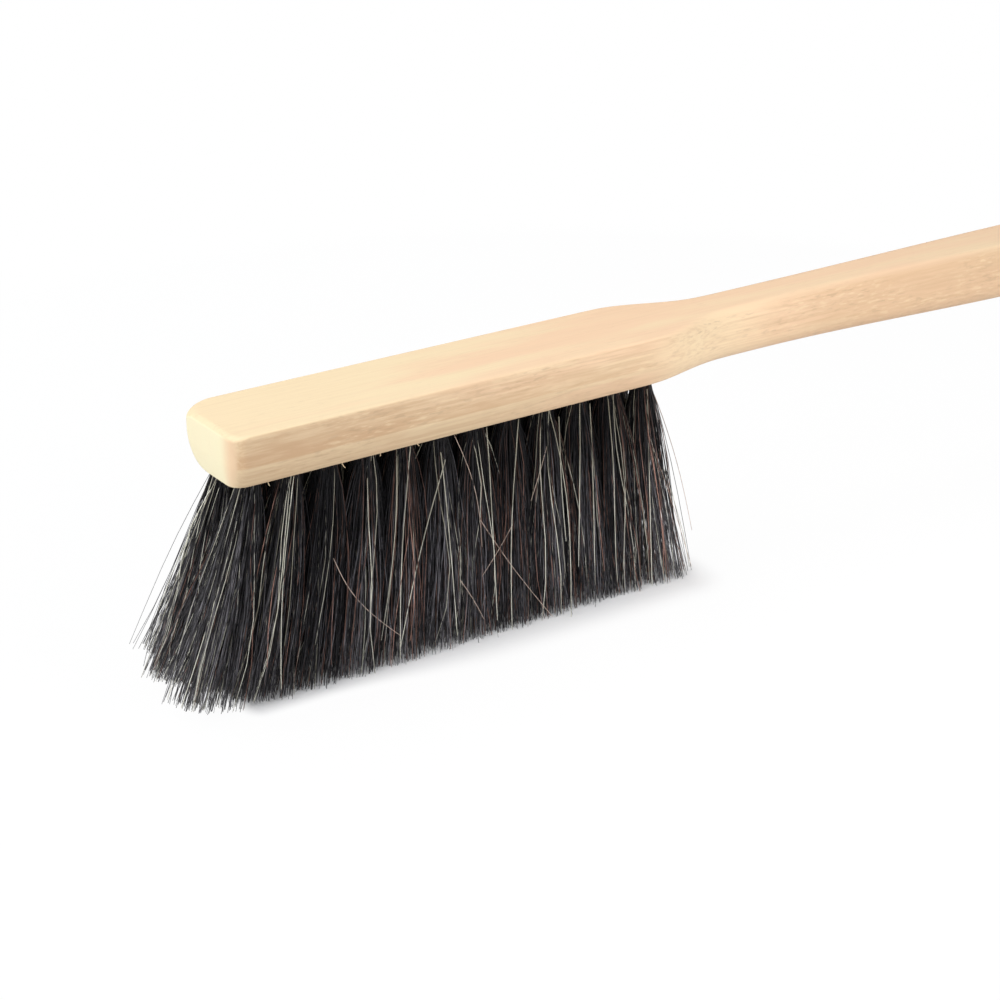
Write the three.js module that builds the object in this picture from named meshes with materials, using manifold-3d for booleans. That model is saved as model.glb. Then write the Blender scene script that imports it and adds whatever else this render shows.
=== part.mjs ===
// Wash brush: a one-piece beech stock with a flat head, drawn-in shoulders and a swelling handle,
// four staggered rows of fibre tufts set in blind holes, and a flat-wire anchor across each tuft's fold.
// Millimetres, +Z up. The brush stands on its bristle tips, and x runs from the head to the butt.
import * as THREE from 'three';
import { mergeGeometries, mergeVertices } from 'three/addons/utils/BufferGeometryUtils.js';
import Module from 'manifold-3d';

const wasm = await Module();
wasm.setup();
const { lerp, smoothstep, degToRad } = THREE.MathUtils;

// Head of the stock
const TRIM = 80; // bristle that stands out below the head
const HEAD_THICK = 20;
const HEAD_HALF = 22; // half the head's width
// Plan radii of the two front corners, which are worn unequally: at mid height, underneath and on top
const NEAR_CORNER = { side: -1, mid: 5.5, low: 5.5, top: 5.5, worn: 0 };
const FAR_CORNER = { side: 1, mid: 10.5, low: 17, top: 13, worn: 1 };
const WORN_UP = 0.65; // growth of the heights of the bevel and the top edge at a worn corner
const WORN_DOWN = 1.2;
const TOP_EDGE = 2; // rounding round the top
const BEVEL_IN = 3.5; // bevel round the underside, inwards and upwards
const BEVEL_UP = 8.5;
const BEVEL_POWER = 1.25; // 1 is a flat bevel and 2 a round one
const FRONT_LOW_IN = 1; // the same bevel and the top edge across the front, inwards
const FRONT_TOP_IN = 3;

// Shoulders and handle: the top stays level, and the belly swells downwards
const LENGTH = 450;
const SHOULDER_START = 188;
const SHOULDER_END = 230;
const NECK_HALF = 13.9;
const NECK_THICK = 21.8;
const SWELL_START = 250;
const SWELL_END = 420;
const SWELL_HALF = 2.3;
const SWELL_THICK = 3.6;
const GRIP_START = 182; // the head's edges turn into the handle's from here
const GRIP_END = 240;
const GRIP_TOP_IN = 7; // rounding of the handle's upper edges, inwards and downwards
const GRIP_TOP_DOWN = 6.5;
const GRIP_LOW_IN = 9; // rounding of its lower edges, inwards and upwards
const GRIP_LOW_UP = 9;
const BUTT_CORNER = 14; // plan radius of the butt
const HANG_RADIUS = 4.5;
const HANG_INSET = 17; // hang hole to the end of the butt
const HANG_FLARE = 1.2; // countersink at both mouths

// Tufts
const ROWS = 4;
const ROW_PITCH = 8.6;
const PITCH = 16; // tuft to tuft along a row
const FIRST = 9.5; // first tuft from the front face
const TUFTS = 12; // in the outer near row; every second row has one fewer, half a pitch along
const HOLE_RADIUS = 4.4;
const HOLE_TOP = TRIM + 12.9; // where the drill's cone begins
const HOLE_POINT = TRIM + 14.5;
const PLUG_RADIUS = 3.9;
const PLUG_TOP = TRIM + 12.6;

// Strands, each standing for a lock of fibres
const RING = 7; // strands round the middle one of a tuft
const RING_RADIUS = 3;
const STRAND_RADIUS = 1.1;
const STRAND_SIDES = 3;
const STRAND_STEPS = [0, 0.45, 1]; // shares of the way from head to tip
const FIBRE = 83; // full fibre length, which the trim cuts level
const SPREAD_ALONG = 1.4; // growth of a tuft's radius on the way to its tip, along and across the brush
const SPREAD_ACROSS = 0.45;
const SPREAD_POWER = 0.7; // a tuft opens early on its way
const SIDE_SPREAD = 0.85; // growth of the rows' distance from the middle line
const SWEEP_POWER = 1.3; // the lean grows towards the tips
const FRONT_LEAN = 16;
const FRONT_REACH = 55;
const SETTLE = 12; // slow drift of the whole trim towards the front
const REAR_LEAN = 2.5;
const REAR_REACH = 14;

// The tufted face, a thin layer of the head that is split between the rows
const FACE_THICK = 2.4;
const FACE_MARGIN = 4.9; // past the first and last tufts
const FACE_HALF = 17.1;
const FACE_NEAR_CORNER = 5.7;
const FACE_FAR_CORNER = 11; // keeps clear of the worn front corner
const GAP = 0.3; // play between touching pieces

// Anchors
const ANCHOR_HALF = 5.4;
const ANCHOR_THICK = 0.4;
const ANCHOR_LOW = TRIM + 8.3;
const ANCHOR_TOP = TRIM + 11.1;
const ANCHOR_NIP = 0.8; // slanted corners that lead the anchor into the wood
const ANCHOR_TURN = degToRad(30); // set slantwise to the grain so that it doesn't split the head

// Facets
const EDGE_STEPS = 6;
const CORNER_RINGS = 6;
const SHOULDER_RINGS = 10;
const HANDLE_RINGS = 10;
const BUTT_RINGS = 6;
const HOLE_SIDES = 8;
const PLUG_SIDES = 6;
const HANG_SIDES = 20;
const FACE_SEGMENTS = 4;

const TOP = TRIM + HEAD_THICK;
const QUARTER = Math.PI / 2;
const LAST = FIRST + (TUFTS - 1) * PITCH;
const FACE_START = FIRST - FACE_MARGIN;
const FACE_END = LAST + FACE_MARGIN;
const MARGIN = 5; // how far a cutter runs past what it cuts

const beech = () => new THREE.MeshStandardMaterial({ color: 0xe8c9a0, roughness: 0.55, metalness: 0 });
const fibre = () => new THREE.MeshStandardMaterial({ color: 0x1d1b1f, roughness: 0.45, metalness: 0 });
const wire = () => new THREE.MeshStandardMaterial({ color: 0xb9bcc0, roughness: 0.35, metalness: 1 });

// A closed three.js geometry as a solid that can be cut and joined
function solid(geometry) {
  const bare = geometry.clone();
  bare.deleteAttribute('normal');
  bare.deleteAttribute('uv');
  const merged = mergeVertices(bare);
  const vertProperties = new Float32Array(merged.attributes.position.array);
  const triVerts = new Uint32Array(merged.index.array);
  return new wasm.Manifold(new wasm.Mesh({ numProp: 3, vertProperties, triVerts }));
}

function geometryOf(body) {
  const { vertProperties, triVerts } = body.getMesh();
  const geometry = new THREE.BufferGeometry();
  geometry.setAttribute('position', new THREE.BufferAttribute(vertProperties, 3));
  geometry.setIndex(new THREE.BufferAttribute(triVerts, 1));
  geometry.computeVertexNormals();
  return geometry;
}

function indexed(positions, index) {
  const geometry = new THREE.BufferGeometry();
  geometry.setAttribute('position', new THREE.Float32BufferAttribute(positions, 3));
  geometry.setIndex(index);
  return geometry;
}

// An upright post of n sides between two heights, with a cone up to point where one is given
function post(x, y, radius, low, high, sides, point = high) {
  const profile = [[0, low], [radius, low], [radius, high], [0, point]];
  const geometry = new THREE.LatheGeometry(profile.map(([r, z]) => new THREE.Vector2(r, z)), sides);
  return solid(geometry.rotateX(QUARTER).translate(x, y, 0));
}

// A flat outline raised between two heights
function slab(shape, low, high) {
  const options = { depth: high - low, bevelEnabled: false, curveSegments: FACE_SEGMENTS };
  return solid(new THREE.ExtrudeGeometry(shape, options).translate(0, 0, low));
}

function bar(x, y, length, width, low, high, turn) {
  const geometry = new THREE.BoxGeometry(length, width, high - low).rotateZ(turn);
  return solid(geometry.translate(x, y, (low + high) / 2));
}

// Cross-section of the stock at x: half width, underside height and the sizes of its corners
function section(x) {
  const neck = smoothstep(x, SHOULDER_START, SHOULDER_END);
  const swell = smoothstep(x, SWELL_START, SWELL_END);
  const grip = smoothstep(x, GRIP_START, GRIP_END);
  return {
    half: lerp(HEAD_HALF, NECK_HALF, neck) + SWELL_HALF * swell,
    low: TOP - lerp(HEAD_THICK, NECK_THICK, neck) - SWELL_THICK * swell,
    lowIn: lerp(BEVEL_IN, GRIP_LOW_IN, grip),
    lowUp: lerp(BEVEL_UP, GRIP_LOW_UP, grip),
    lowPower: lerp(BEVEL_POWER, 2, grip),
    topIn: lerp(TOP_EDGE, GRIP_TOP_IN, grip),
    topDown: lerp(TOP_EDGE, GRIP_TOP_DOWN, grip),
  };
}

// One side of the section from the underside up, as shares of the lower and the upper inset, and the
// height: a superellipse quarter below and a round quarter above, both taller where they are worn
function sideProfile(s, worn = 0) {
  const power = 2 / lerp(s.lowPower, 2, worn);
  const lowUp = s.lowUp * (1 + WORN_UP * worn);
  const topDown = s.topDown * (1 + WORN_DOWN * worn);
  const profile = [];
  for (let i = 0; i <= EDGE_STEPS; i++) {
    const angle = (i / EDGE_STEPS) * QUARTER;
    const upwards = 1 - Math.max(Math.cos(angle), 0) ** power;
    profile.push([1 - Math.sin(angle) ** power, 0, s.low + lowUp * upwards]);
  }
  for (let i = 0; i <= EDGE_STEPS; i++) {
    const angle = (i / EDGE_STEPS) * QUARTER;
    profile.push([0, 1 - Math.cos(angle), TOP - topDown * (1 - Math.sin(angle))]);
  }
  return profile;
}

// One side of a ring of the stock, -1 for the near side and 1 for the far one: each height lies between
// the outlines at mid height, underneath and on top
function ringSide(side, { mid, low, top }, profile) {
  return profile.map(([down, up, z]) => {
    const [x, y] = [0, 1].map((i) => mid[i] + down * (low[i] - mid[i]) + up * (top[i] - mid[i]));
    return [x, side * y, z];
  });
}

// A side of a ring at the front. Turn is the direction that the outline faces in plan, from 0 at the
// front face to a quarter turn at the side.
function frontSide({ side, mid, low, top, worn }, turn) {
  const arc = (radius, frontIn, sideIn) => {
    return [frontIn + radius * (1 - Math.cos(turn)), HEAD_HALF - sideIn - radius * (1 - Math.sin(turn))];
  };
  const outlines = {
    mid: arc(mid, 0, 0),
    low: arc(low, FRONT_LOW_IN, BEVEL_IN),
    top: arc(top, FRONT_TOP_IN, TOP_EDGE),
  };
  return ringSide(side, outlines, sideProfile(section(0), worn * Math.sin(2 * turn)));
}

// Both sides of a ring further back, where insets go straight against the direction that the outline
// faces: a quarter turn along the sides and a half turn at the butt
function ring(x, half, turn, s) {
  const inwards = (inset) => [x + inset * Math.cos(turn), half - inset * Math.sin(turn)];
  const outlines = { mid: inwards(0), low: inwards(s.lowIn), top: inwards(s.topIn) };
  return [-1, 1].map((side) => ringSide(side, outlines, sideProfile(s)));
}

function stockRings() {
  const rings = [];
  for (let i = 0; i <= CORNER_RINGS; i++) {
    const turn = (i / CORNER_RINGS) * QUARTER;
    rings.push([frontSide(NEAR_CORNER, turn), frontSide(FAR_CORNER, turn)]);
  }
  const straight = (x) => rings.push(ring(x, section(x).half, QUARTER, section(x)));
  for (let i = 0; i < SHOULDER_RINGS; i++) {
    straight(lerp(GRIP_START, GRIP_END, i / SHOULDER_RINGS));
  }
  for (let i = 0; i < HANDLE_RINGS; i++) {
    straight(lerp(GRIP_END, LENGTH - BUTT_CORNER, i / HANDLE_RINGS));
  }
  const butt = section(LENGTH - BUTT_CORNER);
  for (let i = 0; i <= BUTT_RINGS; i++) {
    const turn = QUARTER + (i / BUTT_RINGS) * QUARTER;
    const half = butt.half - BUTT_CORNER * (1 - Math.sin(turn));
    rings.push(ring(LENGTH - BUTT_CORNER * (1 + Math.cos(turn)), half, turn, butt));
  }
  return rings;
}

// The stock's skin: quads between rings along both sides, the top and the underside,
// and a ladder of quads at each end
function stockSkin() {
  const rings = stockRings();
  const points = rings[0][0].length;
  const positions = rings.flat(3);
  const index = [];
  const at = (r, side, i) => (r * 2 + side) * points + i;
  const quad = (a, b, c, d) => index.push(a, b, c, a, c, d);
  const end = rings.length - 1;
  for (let r = 0; r < end; r++) {
    for (let i = 0; i < points - 1; i++) {
      quad(at(r, 0, i), at(r + 1, 0, i), at(r + 1, 0, i + 1), at(r, 0, i + 1));
      quad(at(r, 1, i), at(r, 1, i + 1), at(r + 1, 1, i + 1), at(r + 1, 1, i));
    }
    quad(at(r, 0, points - 1), at(r + 1, 0, points - 1), at(r + 1, 1, points - 1), at(r, 1, points - 1));
    quad(at(r, 0, 0), at(r, 1, 0), at(r + 1, 1, 0), at(r + 1, 0, 0));
  }
  for (let i = 0; i < points - 1; i++) {
    quad(at(0, 0, i), at(0, 0, i + 1), at(0, 1, i + 1), at(0, 1, i));
    quad(at(end, 0, i), at(end, 1, i), at(end, 1, i + 1), at(end, 0, i + 1));
  }
  return indexed(positions, index);
}

// The outline of the tufted face, grown by a margin
function faceOutline(grow) {
  const start = FACE_START - grow;
  const end = FACE_END + grow;
  const half = FACE_HALF + grow;
  const near = FACE_NEAR_CORNER + grow;
  const far = FACE_FAR_CORNER + grow;
  const shape = new THREE.Shape();
  shape.moveTo(start + near, -half);
  shape.lineTo(end, -half);
  shape.lineTo(end, half);
  shape.lineTo(start + far, half);
  shape.absarc(start + far, half - far, far, QUARTER, 2 * QUARTER);
  shape.absarc(start + near, near - half, near, 2 * QUARTER, 3 * QUARTER);
  return shape;
}

// The rows: their distance from the middle line and the places of their tufts
function tuftRows() {
  return Array.from({ length: ROWS }, (_, row) => {
    const shifted = row % 2;
    const places = Array.from({ length: TUFTS - shifted }, (_, i) => FIRST + (i + shifted / 2) * PITCH);
    return { y: (row - (ROWS - 1) / 2) * ROW_PITCH, places };
  });
}

// How far the fibre rooted at (x, y) is swept by its tip: forwards at the front, backwards at the rear
// and out at the sides
function sweep(x, y) {
  const forwards = FRONT_LEAN * Math.exp((FIRST - x) / FRONT_REACH) + SETTLE * (1 - x / LAST);
  const backwards = REAR_LEAN * Math.exp((x - LAST) / REAR_REACH);
  return [backwards - forwards, SIDE_SPREAD * y];
}

// A strand from the tufted face to its tip, as level three-sided rings. The tip ends on the floor,
// or short of it where the fibre leans too far to reach.
function strand(cx, cy, outX, outY, turn) {
  const [sweepX, sweepY] = sweep(cx + outX, cy + outY);
  const spreadX = SPREAD_ALONG * outX;
  const spreadY = SPREAD_ACROSS * outY;
  const reach = Math.hypot(sweepX + spreadX, sweepY + spreadY);
  const tip = Math.max(0, TRIM - Math.sqrt(FIBRE ** 2 - reach ** 2));
  const positions = [];
  const index = [];
  STRAND_STEPS.forEach((share, step) => {
    const bend = share ** SWEEP_POWER;
    const open = share ** SPREAD_POWER;
    const x = cx + outX + spreadX * open + sweepX * bend;
    const y = cy + outY + spreadY * open + sweepY * bend;
    const z = step === 0 ? TRIM + FACE_THICK / 2 : lerp(TRIM, tip, share);
    for (let side = 0; side < STRAND_SIDES; side++) {
      const angle = turn + (side / STRAND_SIDES) * 4 * QUARTER;
      positions.push(x + STRAND_RADIUS * Math.cos(angle), y + STRAND_RADIUS * Math.sin(angle), z);
    }
  });
  const end = STRAND_STEPS.length - 1;
  for (let step = 0; step < end; step++) {
    for (let side = 0; side < STRAND_SIDES; side++) {
      const above = step * STRAND_SIDES + side;
      const aboveNext = step * STRAND_SIDES + ((side + 1) % STRAND_SIDES);
      const below = above + STRAND_SIDES;
      const belowNext = aboveNext + STRAND_SIDES;
      index.push(below, belowNext, aboveNext, below, aboveNext, above);
    }
  }
  const foot = end * STRAND_SIDES;
  index.push(0, 1, 2, foot + 2, foot + 1, foot);
  return indexed(positions, index);
}

// The strands of one tuft: one in the middle and a ring that starts on the outer side of the brush
function tuftStrands(x, y) {
  const outwards = Math.sign(y) * QUARTER;
  const strands = [strand(x, y, 0, 0, outwards)];
  for (let i = 0; i < RING; i++) {
    const angle = outwards + (i / RING) * 4 * QUARTER;
    strands.push(strand(x, y, RING_RADIUS * Math.cos(angle), RING_RADIUS * Math.sin(angle), angle));
  }
  return strands;
}

// The folded root of a tuft, with a window that the anchor passes through
function tuftRoot(x, y) {
  const root = post(x, y, PLUG_RADIUS, TRIM + FACE_THICK / 2, PLUG_TOP, PLUG_SIDES);
  const window = [2 * HOLE_RADIUS, ANCHOR_THICK + 2 * GAP, ANCHOR_LOW - GAP, ANCHOR_TOP + GAP];
  return root.subtract(bar(x, y, ...window, ANCHOR_TURN));
}

// One row: its slice of the tufted face, the roots that go up into the holes, and the strands
function bristleRow({ y, places }) {
  const slice = bar(LENGTH / 2, y, LENGTH, ROW_PITCH - GAP, TRIM - MARGIN, TRIM + HEAD_THICK, 0);
  let row = slab(faceOutline(0), TRIM, TRIM + FACE_THICK).intersect(slice);
  for (const x of places) row = row.add(tuftRoot(x, y));
  const strands = mergeGeometries(places.flatMap((x) => tuftStrands(x, y)));
  return row.add(solid(strands));
}

// The stock: skin, less the tufted face, the tuft holes, the grooves that the anchors cut on their way in
// and the hang hole
function stock(rows) {
  let body = solid(stockSkin());
  const ceiling = TRIM + FACE_THICK + GAP;
  body = body.subtract(slab(faceOutline(GAP), TRIM - MARGIN, ceiling));
  const grooveLength = 2 * (ANCHOR_HALF + GAP);
  const grooveWidth = ANCHOR_THICK + 2 * GAP;
  for (const { y, places } of rows) {
    for (const x of places) {
      const hole = post(x, y, HOLE_RADIUS, TRIM, HOLE_TOP, HOLE_SIDES, HOLE_POINT);
      const groove = bar(x, y, grooveLength, grooveWidth, TRIM, ANCHOR_TOP + GAP, ANCHOR_TURN);
      body = body.subtract(hole.add(groove));
    }
  }
  return body.subtract(hangHole());
}

// The hang hole through the butt, countersunk at both mouths
function hangHole() {
  const x = LENGTH - HANG_INSET;
  const low = section(x).low;
  const wide = HANG_RADIUS + HANG_FLARE + MARGIN;
  const profile = [
    [0, low - MARGIN], [wide, low - MARGIN], [HANG_RADIUS, low + HANG_FLARE],
    [HANG_RADIUS, TOP - HANG_FLARE], [wide, TOP + MARGIN], [0, TOP + MARGIN],
  ];
  const geometry = new THREE.LatheGeometry(profile.map(([r, z]) => new THREE.Vector2(r, z)), HANG_SIDES);
  return solid(geometry.rotateX(QUARTER).translate(x, 0, 0));
}

// A flat-wire anchor: a plate with slanted leading corners, which bites into both sides of the hole
function anchor(x, y) {
  const high = ANCHOR_TOP - ANCHOR_LOW;
  const shape = new THREE.Shape();
  shape.moveTo(-ANCHOR_HALF, 0);
  shape.lineTo(ANCHOR_HALF, 0);
  shape.lineTo(ANCHOR_HALF, high - ANCHOR_NIP);
  shape.lineTo(ANCHOR_HALF - ANCHOR_NIP, high);
  shape.lineTo(ANCHOR_NIP - ANCHOR_HALF, high);
  shape.lineTo(-ANCHOR_HALF, high - ANCHOR_NIP);
  const geometry = new THREE.ExtrudeGeometry(shape, { depth: ANCHOR_THICK, bevelEnabled: false });
  geometry.translate(0, 0, -ANCHOR_THICK / 2).rotateX(QUARTER).rotateZ(ANCHOR_TURN);
  return geometry.translate(x, y, ANCHOR_LOW);
}

const brush = new THREE.Group();

function place(name, geometry, material) {
  const mesh = new THREE.Mesh(geometry, material);
  mesh.name = name;
  brush.add(mesh);
}

const rows = tuftRows();
place('stock', geometryOf(stock(rows)), beech());
rows.forEach((row, r) => {
  place(`bristle_row_${r + 1}`, geometryOf(bristleRow(row)), fibre());
  row.places.forEach((x, i) => place(`tuft_anchor_${r + 1}_${i + 1}`, anchor(x, row.y), wire()));
});

// The origin is under the middle of the brush, on the floor
const box = new THREE.Box3().setFromObject(brush);
const middle = box.getCenter(new THREE.Vector3());
brush.position.set(-middle.x, -middle.y, -box.min.z);

export default brush;
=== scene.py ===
"""Wash brush: a beech stock, fine fibres in four staggered rows of tufts, and a plain studio round them."""
import math

import bmesh
import bpy
import numpy as np
from bpy.props import FloatProperty, FloatVectorProperty, IntProperty, PointerProperty
from bpy.types import NodeSocket, Operator, Panel, PropertyGroup
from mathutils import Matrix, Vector


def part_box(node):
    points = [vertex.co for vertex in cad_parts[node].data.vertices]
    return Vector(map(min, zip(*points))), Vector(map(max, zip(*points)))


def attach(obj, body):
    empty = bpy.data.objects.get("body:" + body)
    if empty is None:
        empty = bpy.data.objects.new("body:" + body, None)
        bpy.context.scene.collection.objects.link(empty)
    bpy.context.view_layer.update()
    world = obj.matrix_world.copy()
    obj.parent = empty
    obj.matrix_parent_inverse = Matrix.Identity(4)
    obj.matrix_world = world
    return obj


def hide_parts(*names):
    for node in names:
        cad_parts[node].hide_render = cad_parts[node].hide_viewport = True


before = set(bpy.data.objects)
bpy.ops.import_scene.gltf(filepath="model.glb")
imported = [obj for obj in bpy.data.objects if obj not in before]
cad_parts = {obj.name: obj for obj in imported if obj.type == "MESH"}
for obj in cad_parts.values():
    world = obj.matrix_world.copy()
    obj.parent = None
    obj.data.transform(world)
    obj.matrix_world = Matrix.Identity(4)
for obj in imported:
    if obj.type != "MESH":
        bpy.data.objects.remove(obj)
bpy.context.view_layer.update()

bl_info = {
    "name": "Wash Brush",
    "version": (1, 0, 0),
    "blender": (4, 5, 0),
    "location": "View3D > Sidebar > Wash Brush",
    "description": "Makes a beech wash brush with drilled tufts of mixed fibre, and a plain studio",
    "category": "Add Mesh",
}

STOCK_LOW, STOCK_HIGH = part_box("stock")

MM = 0.001
QUARTER = math.pi / 2
SEED = 3307
BODY = "root"
ROWS = [name for name in sorted(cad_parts) if name.startswith("bristle_row_")]
ANCHORS = [name for name in sorted(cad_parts) if name.startswith("tuft_anchor_")]

# Resolution of the surfaces
EDGE_STEPS = 20
FLANK_STEPS = 6
ACROSS_STEPS = 14
CORNER_RINGS = 18
BODY_RINGS = 170
BUTT_RINGS = 22
HOLE_SIDES = 24
FIBRE_SIDES = 3
LAID_RINGS = 14
SPLINTER_RINGS = 4

# Points nearer than this are one, edges bent more than this are sharp, and drills start so far outside
WELD_REACH = 0.002 * MM
SHARP_EDGE = math.radians(38)
DRILL_PAST = 4 * MM

# Where a fibre has its rings, as shares of the way from the mouth of its hole to its tip
FIBRE_SHARES = (-0.075, 0.0, 0.12, 0.27, 0.43, 0.6, 0.8, 1.0)

# How single fibres differ: the range of their radii, the width left at the tip, the spread and the limit
# of stray tips, the share that is broken and the most that a broken one has lost
RADIUS_RANGE = (0.75, 1.3)
TIP_TAPER = 0.6
STRAY_SPREAD = 0.7
STRAY_LIMIT = 3
BROKEN_SHARE = 0.05
BROKEN_MOST = 14 * MM

# Limits of the chance factor of a tuft's shade
TUFT_TONES = (0.3, 2)

# The mix: a fibre's radius, how evenly tufts share the kind, the weights of the front, middle and rear
# tufts, how far it strays, and the two powers of its shades' beta law
FIBRE_MIX = {
    "black": dict(radius=0.165 * MM, evenness=60.0, weights=(1.0, 1.0, 1.0), wildness=1.45,
                  shades=(0.7, 2.2)),
    "brown": dict(radius=0.19 * MM, evenness=10.0, weights=(0.6, 1.3, 1.6), wildness=2.0,
                  shades=(1.8, 0.9)),
    "straw": dict(radius=0.205 * MM, evenness=5.0, weights=(3.2, 1.2, 1.8), wildness=2.5,
                  shades=(3.0, 0.9)),
}


def length(name, description, default):
    """A size in metres."""
    return FloatProperty(name=name, description=description, default=default,
                         unit="LENGTH", subtype="DISTANCE", precision=5)


def lengths(name, description, default):
    """Several sizes in metres."""
    return FloatVectorProperty(name=name, description=description, default=default,
                               size=len(default), unit="LENGTH", precision=5)


def ratio(name, description, default):
    """A plain number."""
    return FloatProperty(name=name, description=description, default=default)


def count(name, description, default):
    """A whole number of like things."""
    return IntProperty(name=name, description=description, default=default, min=1)


def angle(name, description, default):
    """An angle, given in degrees."""
    return FloatProperty(name=name, description=description, default=math.radians(default),
                         unit="ROTATION", subtype="ANGLE")


def colour(name, description, default):
    """A linear colour."""
    return FloatVectorProperty(name=name, description=description, default=default,
                               subtype="COLOR", size=3, min=0, max=1)


class StockSizes(PropertyGroup):
    """The beech stock. x runs from its front face to the butt."""
    overall: length("Length", "Front face to the end of the butt", STOCK_HIGH.x - STOCK_LOW.x)
    top: length("Top", "Height of the flat back above the floor", STOCK_HIGH.z)
    head_half: length("Head half width", "Half the width of the head", STOCK_HIGH.y)
    head_thick: length("Head thickness", "Thickness of the head", 20 * MM)
    near_corner: lengths("Near corner", "Plan radii of the near corner: mid height, underneath, on top",
                         (5.5 * MM, 5.5 * MM, 5.5 * MM))
    far_corner: lengths("Far corner", "Plan radii of the far corner: mid height, underneath, on top",
                        (10.5 * MM, 17 * MM, 13 * MM))
    top_edge: length("Top edge", "Rounding round the head's top", 2 * MM)
    bevel_in: length("Bevel in", "Bevel round the underside, inwards", 3.5 * MM)
    bevel_up: length("Bevel up", "Bevel round the underside, upwards", 8.5 * MM)
    front_low_in: length("Front low in", "Bevel across the front, inwards", 1 * MM)
    front_top_in: length("Front top in", "Top edge's rounding across the front, inwards", 3 * MM)
    worn_up: ratio("Worn up", "Growth of the bevel's height at the worn far corner", 0.65)
    worn_down: ratio("Worn down", "Growth of the top edge's height at the worn far corner", 1.2)
    bevel_power: ratio("Bevel power", "1 is a flat bevel and 2 a round one", 1.25)
    shoulder_start: length("Shoulder start", "Where the head begins to narrow", 188 * MM)
    shoulder_end: length("Shoulder end", "Where the neck is reached", 230 * MM)
    neck_half: length("Neck half width", "Half the width of the neck", 13.9 * MM)
    neck_thick: length("Neck thickness", "Thickness of the neck", 21.8 * MM)
    swell_start: length("Swell start", "Where the handle begins to swell", 250 * MM)
    swell_end: length("Swell end", "Where the handle is fullest", 420 * MM)
    swell_half: length("Swell half width", "Growth of the half width", 2.3 * MM)
    swell_thick: length("Swell thickness", "Growth of the thickness, downwards", 3.6 * MM)
    grip_start: length("Grip start", "Where the head's edges begin to soften", 182 * MM)
    grip_end: length("Grip end", "Where the handle's rounding is reached", 240 * MM)
    grip_top_in: length("Grip top in", "Rounding of the upper edges, inwards", 7 * MM)
    grip_top_down: length("Grip top down", "Rounding of the upper edges, downwards", 6.5 * MM)
    grip_low_in: length("Grip low in", "Rounding of the lower edges, inwards", 9 * MM)
    grip_low_up: length("Grip low up", "Rounding of the lower edges, upwards", 9 * MM)
    butt_corner: length("Butt corner", "Plan radius of the butt", 14 * MM)
    hang_radius: length("Hang hole", "Radius of the hang hole", 4.5 * MM)
    hang_inset: length("Hang hole inset", "Hang hole to the end of the butt", 17 * MM)
    hang_flare: length("Hang hole flare", "Countersink of the hang hole", 1.2 * MM)


class TuftSizes(PropertyGroup):
    """The tufts, their holes and the way that their fibres spread."""
    trim: length("Trim", "Bristle below the head", 80 * MM)
    row_pitch: length("Row pitch", "Row to row", 8.6 * MM)
    pitch: length("Tuft pitch", "Tuft to tuft along a row", 16 * MM)
    first: length("First tuft", "First tuft from the front face", 9.5 * MM)
    tufts: count("Tufts", "Tufts in the longer rows", 12)
    hole_radius: length("Hole radius", "Radius of a tuft hole", 4.4 * MM)
    hole_depth: length("Hole depth", "Depth of a tuft hole up to the drill's cone", 12.9 * MM)
    hole_cone: length("Hole cone", "Height of the drill's cone", 1.6 * MM)
    tuft_radius: length("Tuft radius", "Radius of a tuft at the mouth of its hole", 4.1 * MM)
    black: count("Black fibres", "Black fibres in a tuft", 330)
    brown: count("Brown fibres", "Brown fibres in a tuft", 32)
    straw: count("Straw fibres", "Straw-coloured fibres in a tuft", 17)
    fibre: length("Fibre length", "Full length of a fibre below the head", 83 * MM)
    tuft_spread: FloatVectorProperty(name="Tuft spread", default=(1.4, 0.45), size=2,
                                     description="Growth of a tuft's radius to its tip, along and across")
    side_spread: ratio("Side spread", "Growth of a row's distance from the middle", 0.85)
    sweep_power: ratio("Sweep power", "How late the lean sets in", 1.3)
    front_lean: length("Front lean", "Forward lean of the front tufts' tips", 16 * MM)
    front_back: lengths("Front set-back", "How much less the front tufts lean, from near row to far row",
                        (0, -4 * MM, 6 * MM, 3 * MM))
    front_reach: length("Front reach", "How fast the forward lean dies away", 55 * MM)
    settle: length("Settle", "Slow drift of the trim towards the front", 12 * MM)
    rear_lean: length("Rear lean", "Backward lean of the rear tufts' tips", 2.5 * MM)
    rear_reach: length("Rear reach", "How fast the backward lean dies away", 14 * MM)
    spread_power: ratio("Spread power", "How early a tuft opens below its hole", 0.7)
    scatter: lengths("Scatter", "How far single tips stray, along and across", (1.9 * MM, 0.7 * MM))
    bow: length("Bow", "How far fibres bow on their way", 0.9 * MM)
    wave: length("Wave", "How far fibres swing to and fro on their way", 0.45 * MM)
    uneven: length("Uneven tips", "How far tips end above the floor", 0.35 * MM)
    # Painted shade: darker fibres at a tuft's sides and in tufts with others all round them
    painted_side_shade: ratio("Side shade", "Loss of shade at a tuft's sides, where it faces the next tufts", 0.6)
    painted_inner_shade: ratio("Inner shade", "Share of shade left in tufts with others all round them", 0.45)
    tuft_tone: ratio("Tuft tone", "How far whole tufts are paler or darker than others", 0.3)


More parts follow.
